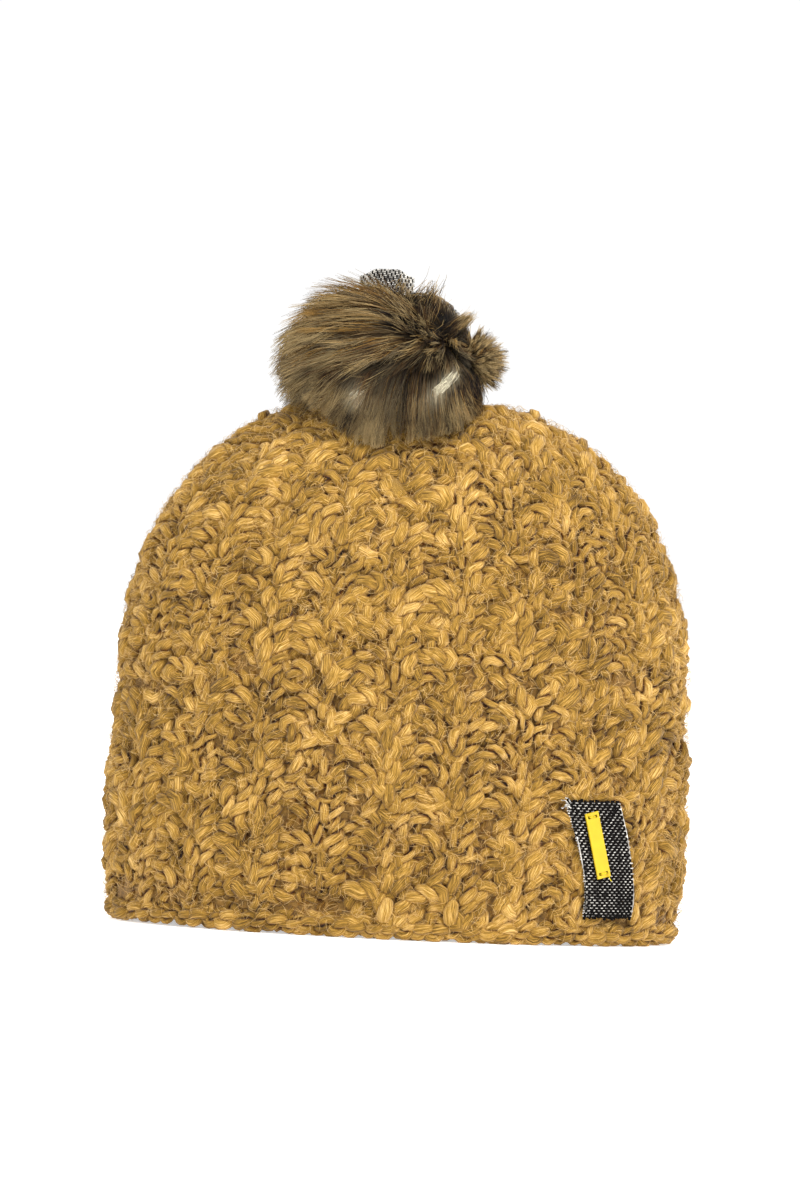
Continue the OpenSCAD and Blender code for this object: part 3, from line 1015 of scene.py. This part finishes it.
def coverHair(rng):
    # short hair that lies flat on the hide, to the right of the parting and behind it
    centre = hideMiddle()
    parting = unit(np.array(fur["parting"]) - centre)
    wisps = spreadOnSphere(rng, 1500)
    wisps = wisps[(wisps[:, 2] > -0.75)]
    own = rng.integers(0, len(wisps), 12500)
    start = unit(wisps[own] + rng.normal(0, 0.030, (len(own), 3)))
    away = unit(-(parting - (start @ parting)[:, None] * start) + 1e-6)
    swing = rng.normal(0, 0.10, (len(wisps), 3))[own]
    bend = 0.75 * (1 + 0.2 * rng.normal(0, 1, len(wisps)))[own][:, None]
    # it is shorter and sits lower at the top right
    topRight = smooth01((start[:, :1] + 0.35) / 0.3) * smooth01(start[:, 2:] / 0.3)
    high = rng.uniform(0.0010, 0.0045, len(wisps))[own][:, None] * (1 - 0.35 * topRight)
    skin = fur["hide"] * (1 - 0.09 * topRight)
    tip = centre + (skin + high + 0.001) * unit(start * np.cos(bend) + away * np.sin(bend) + swing * 0.6)
    root = centre + fur["hide"] * 0.87 * start
    second = centre + (skin + 0.0015 + high) * unit(start * np.cos(bend * 0.2) + away * np.sin(bend * 0.2))
    way = unit(start * np.cos(bend * 0.6) + away * np.sin(bend * 0.6) + swing * 0.3)
    third = centre + (skin + 0.0010 + high * 1.3) * way
    return root, second, third, tip, own + firstWisp["cover"]


def lobeHair(rng, lobe):
    middle, reach, way, count = [np.array(q) for q in lobe]
    centre = hideMiddle()
    wisps = spreadOnSphere(rng, 900)
    wisps = wisps[wisps @ unit(way.astype(float)) > -0.12]
    own = rng.integers(0, len(wisps), int(count))
    out = unit(wisps[own] + rng.normal(0, 0.030, (len(own), 3)))
    out = unit(out + 0.75 * unit(way.astype(float)))
    swing = rng.normal(0, 0.09, (len(wisps), 3))[own]
    perWisp = (1 + 0.14 * rng.normal(0, 1, len(wisps)))[own]
    length = np.clip(perWisp * (1 + 0.06 * rng.normal(0, 1, len(own))), 0.68, 1.28)
    root = centre + fur["hide"] * 0.97 * unit(middle + 0.4 * reach * out - centre)
    second = root + (middle - root) * 0.30 + reach * out * 0.25
    third = middle + reach * out * (0.62 * length)[:, None]
    tip = middle + reach * unit(out + swing) * length[:, None]
    return root, second, third, tip, own + firstWisp["lobe"]


def tuftHair(rng):
    # a stray tuft stands up over the parting, and short wisps by the tail
    parts = []
    for start, end, count, spread, wild in (
        ((0.0120, -0.0150, 0.2570), (0.0210, -0.0150, 0.2660), 380, 0.0020, 0.0008),
        ((0.0000, -0.0120, 0.2660), (0.0050, -0.0110, 0.2775), 190, 0.0040, 0.0010),
        ((-0.0100, -0.0110, 0.2700), (-0.0070, -0.0100, 0.2780), 90, 0.0036, 0.0006),
    ):
        start, end = np.array(start), np.array(end)
        root = start + rng.normal(0, spread, (count, 3))
        tip = root * 0.35 + start * 0.65 + (end - start) * rng.uniform(0.6, 1.15, (count, 1))
        tip = tip + rng.normal(0, spread * 0.5, (count, 3))
        lean = rng.normal(0, wild, (count, 3))
        second, third = root + (tip - root) * 0.35 + lean * 0.5, root + (tip - root) * 0.7 + lean
        parts.append((root, second, third, tip, rng.integers(0, 60, count) + firstWisp["tuft"]))
    return [np.concatenate(q) for q in zip(*parts)]


def fringeHair(rng):
    # the lowest hair hangs over the front of the crown in ragged points
    count, locks = 5600, 170
    edge = {-0.047: 0.2265, -0.033: 0.2150, -0.018: 0.2062, -0.006: 0.2084, 0.008: 0.2112, 0.020: 0.2156, 0.028: 0.2240}
    own = rng.integers(0, locks, count)
    across = rng.uniform(-0.047, 0.028, locks)[own]
    x = across + rng.normal(0, 0.0024, count)
    foot = np.interp(across, list(edge), list(edge.values()))
    foot = foot + np.abs(rng.normal(0, 0.0034, locks))[own] + np.abs(rng.normal(0, 0.0020, count))
    front = -(0.012 + 0.0305 * np.sqrt(np.clip(1 - ((x + 0.012) / 0.046) ** 2, 0, 1)))
    high = rng.uniform(0.0, 0.014, count) + 0.228
    root = np.stack([x * 0.6 + 0.002, front * 0.45, high + 0.004], -1)
    second = np.stack([x * 0.9 + 0.001, front, high + 0.003], -1)
    third = np.stack([x - 0.0006, front - 0.0020, 0.5 * foot + 0.5 * high], -1)
    swing = rng.normal(0, 0.0014, locks)[own]
    tip = np.stack([across - 0.0018 + swing + rng.normal(0, 0.0008, count), front + 0.0010, foot], -1)
    return root, second, third, tip, own + firstWisp["fringe"]


def coatFront(x, z):
    # how far forward the coat reaches at a place seen from the front
    reach = []
    for coat in furCoats:
        middle, size = coat["middle"], coat["reach"]
        room = 1 - ((x - middle[0]) / size[0]) ** 2 - ((z - middle[2]) / size[2]) ** 2
        reach.append(middle[1] - size[1] * 0.97 * np.sqrt(np.clip(room, 0, 1)))
    return np.minimum(*reach)


def paleLocks(rng):
    # two pale locks in the coat, a long one and a short one
    parts = []
    for start, end, wide, count, long in (
        ((0.0165, 0.2412), (0.0050, 0.2300), 0.0008, 520, 0.0052),
        ((-0.0240, 0.2312), (-0.0272, 0.2262), 0.0013, 170, 0.0046),
    ):
        s = rng.uniform(0, 1, count)
        x = start[0] + (end[0] - start[0]) * s + rng.normal(0, wide, count)
        z = start[1] + (end[1] - start[1]) * s + rng.normal(0, wide, count)
        reach = long * rng.uniform(0.6, 1.2, count)
        heading = rng.normal(-2.20, 0.12, count)
        line = []
        for share, deep in ((0.0, 0.0016), (0.33, -0.0003), (0.66, -0.0005), (1.0, 0.0)):
            px, pz = x + np.cos(heading) * reach * share, z + np.sin(heading) * reach * share
            lower = 0.0024 * smooth01((0.238 - pz) / 0.008)
            line.append(np.stack([px, coatFront(px, pz) - 0.0008 - lower + deep, pz], -1))
        parts.append(tuple(line) + (rng.integers(0, 80, count) + firstWisp["pale"],))
    return [np.concatenate(q) for q in zip(*parts)]


furPalette = {
    "gold": "#735526",
    "brown": "#4d3820",
    "grey": "#564b37",
    "dark": "#1f140b",
    "tan": "#876b3f",
    "frost": "#b39a6a",
    "cream": "#f2e8c8",
}

# marks in the coat: place in x and z, half sizes, lean, colour, strength
furMarks = [
    (0.0117, 0.2361, 0.0026, 0.0085, 0.92, "cream", 0.55),
    (-0.0262, 0.2280, 0.0030, 0.0042, -0.5, "cream", 0.45),
    (-0.0276, 0.2200, 0.0060, 0.0045, 0.0, "dark", 0.85),
    (0.0170, 0.2330, 0.0026, 0.0090, 0.92, "dark", 0.85),
    (0.0070, 0.2400, 0.0022, 0.0080, 0.92, "dark", 0.60),
    (0.0100, 0.2520, 0.0035, 0.0070, 0.1, "dark", 0.75),
    (-0.0040, 0.2200, 0.0120, 0.0030, 0.0, "dark", 0.60),
    (-0.0100, 0.2200, 0.0300, 0.0048, 0.0, "dark", 0.55),
    (-0.0100, 0.2072, 0.0300, 0.0030, 0.0, "frost", 0.75),
    (-0.0430, 0.2380, 0.0080, 0.0060, 0.3, "dark", 0.50),
]


def furTints(points, along, wisp, rng):
    # one colour for each point of each hair: dark roots, light bands near the tips and marks in the coat
    def rgb(name):
        return np.array(fromHex(furPalette[name])[:3])

    names = ["gold", "brown", "grey", "dark", "tan"]
    count = points.shape[0]
    tips = points[:, -1]
    left = smooth01((-0.013 - tips[:, 0]) / 0.03)
    high = smooth01((tips[:, 2] - 0.238) / 0.025)
    even = np.ones(count)
    weights = np.stack([0.25 + 1.1 * left * high, 0.55 * even, 0.25 + 0.9 * (1 - high), 0.50 * even, 0.30 * even], -1)
    weights /= weights.sum(1, keepdims=True)
    perWisp, every = np.random.default_rng(5), firstWisp["end"]
    drawn = perWisp.uniform(0, 1, every)[wisp] * 0.85 + rng.uniform(0, 1, count) * 0.15
    choice = np.minimum((drawn[:, None] > np.cumsum(weights, 1)).sum(1), 4)
    base = np.stack([rgb(n) for n in names])[choice]
    shade = np.exp(0.50 * perWisp.normal(0, 1, every))[wisp] * (1 + 0.15 * rng.normal(0, 1, count))
    band = (perWisp.uniform(0, 1, every) < 0.62)[wisp] * perWisp.uniform(0.25, 0.85, every)[wisp]
    ageing = 0.10 + 0.85 * smooth01((along - 0.15) / 0.55)[None]
    tint = base[:, None, :] * (np.clip(shade, 0.22, 1.9)[:, None] * ageing)[..., None]
    band = (band[:, None] * smooth01((along - 0.55) / 0.3)[None])[..., None]
    tint = tint * (1 - band) + rgb("frost") * band
    front = points[..., 1] < 0.0
    for x, z, wide, tall, lean, name, power in furMarks:
        offX, offZ = points[..., 0] - x, points[..., 2] - z
        down = (offZ + lean * offX) / math.hypot(1, lean)
        across = (offX - lean * offZ) / math.hypot(1, lean)
        mark = power * np.exp(-(across / wide) ** 2 - (down / tall) ** 2) * front
        mark = (mark * np.clip(0.75 + 0.35 * rng.normal(0, 1, (count, 1)), 0, 1.2))[..., None]
        tint = tint * (1 - mark) + rgb(name) * mark
    pale = (wisp >= firstWisp["pale"])[:, None, None]
    rooted = (0.45 + 0.55 * smooth01(along / 0.35))[None, :, None]
    lock = rgb("cream") * rng.uniform(0.22, 0.85, (count, 1, 1)) * rooted
    tint = np.where(pale, lock, tint)
    return np.concatenate([np.clip(tint, 0.003, 0.9), np.ones(tint.shape[:2] + (1,))], -1)


def furCoat():
    rng = np.random.default_rng(53)
    m = Nodes("longFur", roughness=0.6, Specular_IOR_Level=0.14)
    m.colour(m.tint("furTint", "Color"))
    groups = [combedHair(rng, coat, number) for number, coat in enumerate(furCoats)]
    groups += [lobeHair(rng, lobe) for lobe in furLobes]
    groups += [coverHair(rng), tuftHair(rng), fringeHair(rng), paleLocks(rng)]
    root, second, third, tip, wisp = [np.concatenate(q) for q in zip(*groups)]
    rings, sides = fur["rings"], fur["sides"]
    paths = bezier(root, second, third, tip, rings)
    wild = rng.normal(0, 0.00022, paths.shape) * np.linspace(0, 1, rings)[None, :, None]
    paths = paths + wild
    margin = (0.0030 + 0.0022 * rng.uniform(0, 1, len(root)))
    pushed = outsideHat(paths.reshape(-1, 3), np.repeat(margin, rings)).reshape(paths.shape)
    kept = (np.abs(pushed - paths)[..., 1].max(1) < fur["push"]) | (wisp >= firstWisp["fringe"])
    paths, wisp, root = pushed[kept], wisp[kept], root[kept]
    along = np.linspace(0, 1, rings)
    tints = furTints(paths, along, wisp, rng)
    fringe = (wisp >= firstWisp["fringe"]) & (wisp < firstWisp["pale"])
    radii = fur["thick"] * (1 - 0.62 * along ** 2)[None, :] * rng.uniform(0.7, 1.25, (len(root), 1))
    perHair = (rings - 1) * sides * 2 + 2
    each = mostTriangles // perHair
    made = []
    # the fringe and the rest of the coat are made as separate pieces
    for name, members, bodies, (low, high) in (
        ("furCoat", ~fringe, ("shank", "pom"), fur["coatBlend"]),
        ("furFringe", fringe, ("hat", "shank"), fur["fringeBlend"]),
    ):
        order = rng.permutation(np.flatnonzero(members))
        for number, first in enumerate(range(0, len(order), each)):
            chosen = order[first:first + each]
            points, faces = manyTubes(paths[chosen], radii[chosen], sides)
            colours = np.repeat(tints[chosen][:, :, None, :], sides, 2).reshape(-1, 4)
            piece = addMesh(f"{name}{number + 1}", points, faces, m.material, None, tints={"furTint": colours})
            standFor("fur_pile")
            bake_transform(piece)
            made.append(piece)
    print("fur:", len(root), "hairs in", len(made), "pieces")


def lumpyBall(name, middle, radius, cutBelow, lumps, seed, material, body):
    # a stuffed ball, flat where it is gathered onto its base
    rng = np.random.default_rng(seed)
    rows, around = 48, 96
    a = np.linspace(-math.pi / 2, math.pi / 2, rows)[1:-1]
    w = np.linspace(0, 2 * math.pi, around, endpoint=False)
    aa, ww = np.meshgrid(a, w, indexing="ij")
    out = np.stack([np.cos(aa) * np.cos(ww), np.cos(aa) * np.sin(ww), np.sin(aa)], -1)
    waves = np.zeros(aa.shape)
    for _ in range(9):
        way = unit(rng.normal(0, 1, 3))
        waves += np.sin(out @ way * rng.uniform(3, 9) + rng.uniform(0, 6.28)) / 9
    points = np.array(middle) + out * (radius * (1 + lumps * waves))[..., None]
    points[..., 2] = np.maximum(points[..., 2], cutBelow)
    rings = points.reshape(-1, 3)
    k = np.arange(len(a) - 1)[:, None] * around
    i = np.arange(around)[None, :]
    walls = np.stack([k + i, k + (i + 1) % around, k + around + (i + 1) % around, k + around + i], -1).reshape(-1, 4)
    allPoints = np.concatenate([rings, [points[0].mean(0), points[-1].mean(0)]])
    bottom, top = len(rings), len(rings) + 1
    last = (len(a) - 1) * around
    turn = [(j, (j + 1) % around) for j in range(around)]
    caps = [(bottom, after, j) for j, after in turn] + [(top, last + j, last + after) for j, after in turn]
    mesh = bpy.data.meshes.new(name)
    mesh.from_pydata([tuple(p) for p in allPoints], [], [tuple(f) for f in walls] + caps)
    mesh.polygons.foreach_set("use_smooth", [True] * len(mesh.polygons))
    mesh.materials.append(material)
    piece = bpy.data.objects.new(name, mesh)
    bpy.context.scene.collection.objects.link(piece)
    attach(piece, body)
    return piece


def pomCore():
    suede = Nodes("furHideSuede", roughness=0.9, Sheen_Weight=0.3)
    place = suede.place()
    nap = suede.noise(place, 500, 5, 0.7)
    suede.colour(suede.ramp(nap, [(0.3, "#1d140a"), (0.7, "#3c2c18")]))
    suede.bump(nap, 0.8, 0.0008)
    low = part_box("fur_hide")[0]
    hide = lumpyBall("furHide", hideMiddle(), fur["hide"] * 0.88, low[2], 0.03, 61, suede.material, "pom")
    standFor("fur_hide")
    fill = Nodes("looseFill", roughness=1.0, Sheen_Weight=0.3)
    place = fill.place()
    fluff = fill.noise(place, 300, 6, 0.75)
    fill.colour(fill.ramp(fluff, [(0.3, "#d9d6cd"), (0.7, "#f6f4ee")]))
    fill.bump(fluff, 1.0, 0.001)
    radius, foot = fur["hide"] - 0.003, low[2] + 0.001
    stuffing = lumpyBall("pomStuffing", hideMiddle(), radius, foot, 0.05, 67, fill.material, "pom")
    standFor("pom_stuffing")
    base = Nodes("baseSuede", roughness=0.85, Sheen_Weight=0.2)
    place = base.place()
    nap = base.noise(place, 700, 4, 0.7)
    base.colour(base.ramp(nap, [(0.3, "#a58f6c"), (0.7, "#cdb896")]))
    base.bump(nap, 0.5, 0.0004)
    dressedNode("pom_base_disc", base.material)
    dressedNode("pom_gather_thread", bpy.data.materials["tanThread"])


def pomShank():
    # a short neck of yarn, wound across itself twice
    low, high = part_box("pom_shank")
    turn = np.linspace(0, 4 * math.pi, 40)
    foot, head = low[2] + 0.0030, high[2] - 0.0026
    lower = np.stack([np.linspace(-0.0018, 0.0018, 40), 0.0016 * np.cos(turn), foot + 0.0016 * np.sin(turn)], -1)
    upper = np.stack([0.0013 * np.cos(turn), np.linspace(-0.0015, 0.0015, 40), head + 0.0013 * np.sin(turn)], -1)
    openYarn("pomShank", [lower, upper], 0.34, "shank", "pom_shank", 71)


furCoat()
pomCore()
pomShank()


look = {
    "lens": 180,
    "lift": 1.0,             # degrees that the camera looks down
    "roll": 2.7,             # degrees that the hat leans to its left
    "aim": (-0.0028, 0.0, 0.143),
    "tall": 0.5184,          # height of the view at the hat
}


def cameraAndLight():
    data = bpy.data.cameras.new("camera")
    data.lens = look["lens"]
    data.sensor_width = 36
    data.clip_start = 0.01
    camera = bpy.data.objects.new("camera", data)
    bpy.context.scene.collection.objects.link(camera)
    aim = Vector(look["aim"])
    away = look["tall"] * look["lens"] / 36
    lift = math.radians(look["lift"])
    camera.location = aim + away * Vector((0, -math.cos(lift), math.sin(lift)))
    facing = (aim - camera.location).to_track_quat("-Z", "Y").to_matrix().to_4x4()
    roll = Matrix.Rotation(math.radians(look["roll"]), 4, "Z")
    camera.matrix_world = Matrix.Translation(camera.location) @ facing @ roll
    bpy.context.scene.camera = camera

    for name, place, size, power, warmth in (
        ("keyLight", (0.55, -0.80, 1.10), 0.55, 19, (1.0, 0.98, 0.95)),
        ("fillLight", (-0.9, -0.8, 0.5), 0.9, 4, (0.97, 0.98, 1.0)),
        ("backLight", (0.3, 0.9, 0.9), 0.8, 8, (1.0, 1.0, 1.0)),
    ):
        lamp = bpy.data.lights.new(name, "AREA")
        lamp.shape = "DISK"
        lamp.size = size
        lamp.energy = power
        lamp.color = warmth
        holder = bpy.data.objects.new(name, lamp)
        bpy.context.scene.collection.objects.link(holder)
        holder.location = place
        holder.rotation_euler = (Vector((0, 0, 0.12)) - holder.location).to_track_quat("-Z", "Y").to_euler()

    world = bpy.data.worlds.new("paleRoom")
    bpy.context.scene.world = world
    world.use_nodes = True
    world.node_tree.nodes["Background"].inputs["Color"].default_value = (1, 1, 1, 1)
    world.node_tree.nodes["Background"].inputs["Strength"].default_value = 1.02
    bpy.context.scene.view_settings.view_transform = "Standard"

    m = Nodes("paleFloor", roughness=0.9, Emission_Color=(1, 1, 1, 1), Emission_Strength=0.5)
    place = m.place()
    m.colour(m.ramp(m.noise(place, 3, 2), [(0.3, "#fdfdfd"), (0.7, "#ffffff")]))
    mesh = bpy.data.meshes.new("floor")
    half = 6.0
    mesh.from_pydata([(-half, -half, 0), (half, -half, 0), (half, half, 0), (-half, half, 0)], [], [(0, 1, 2, 3)])
    mesh.materials.append(m.material)
    floor = bpy.data.objects.new("floor", mesh)
    bpy.context.scene.collection.objects.link(floor)


cameraAndLight()
print("camera and light: done")
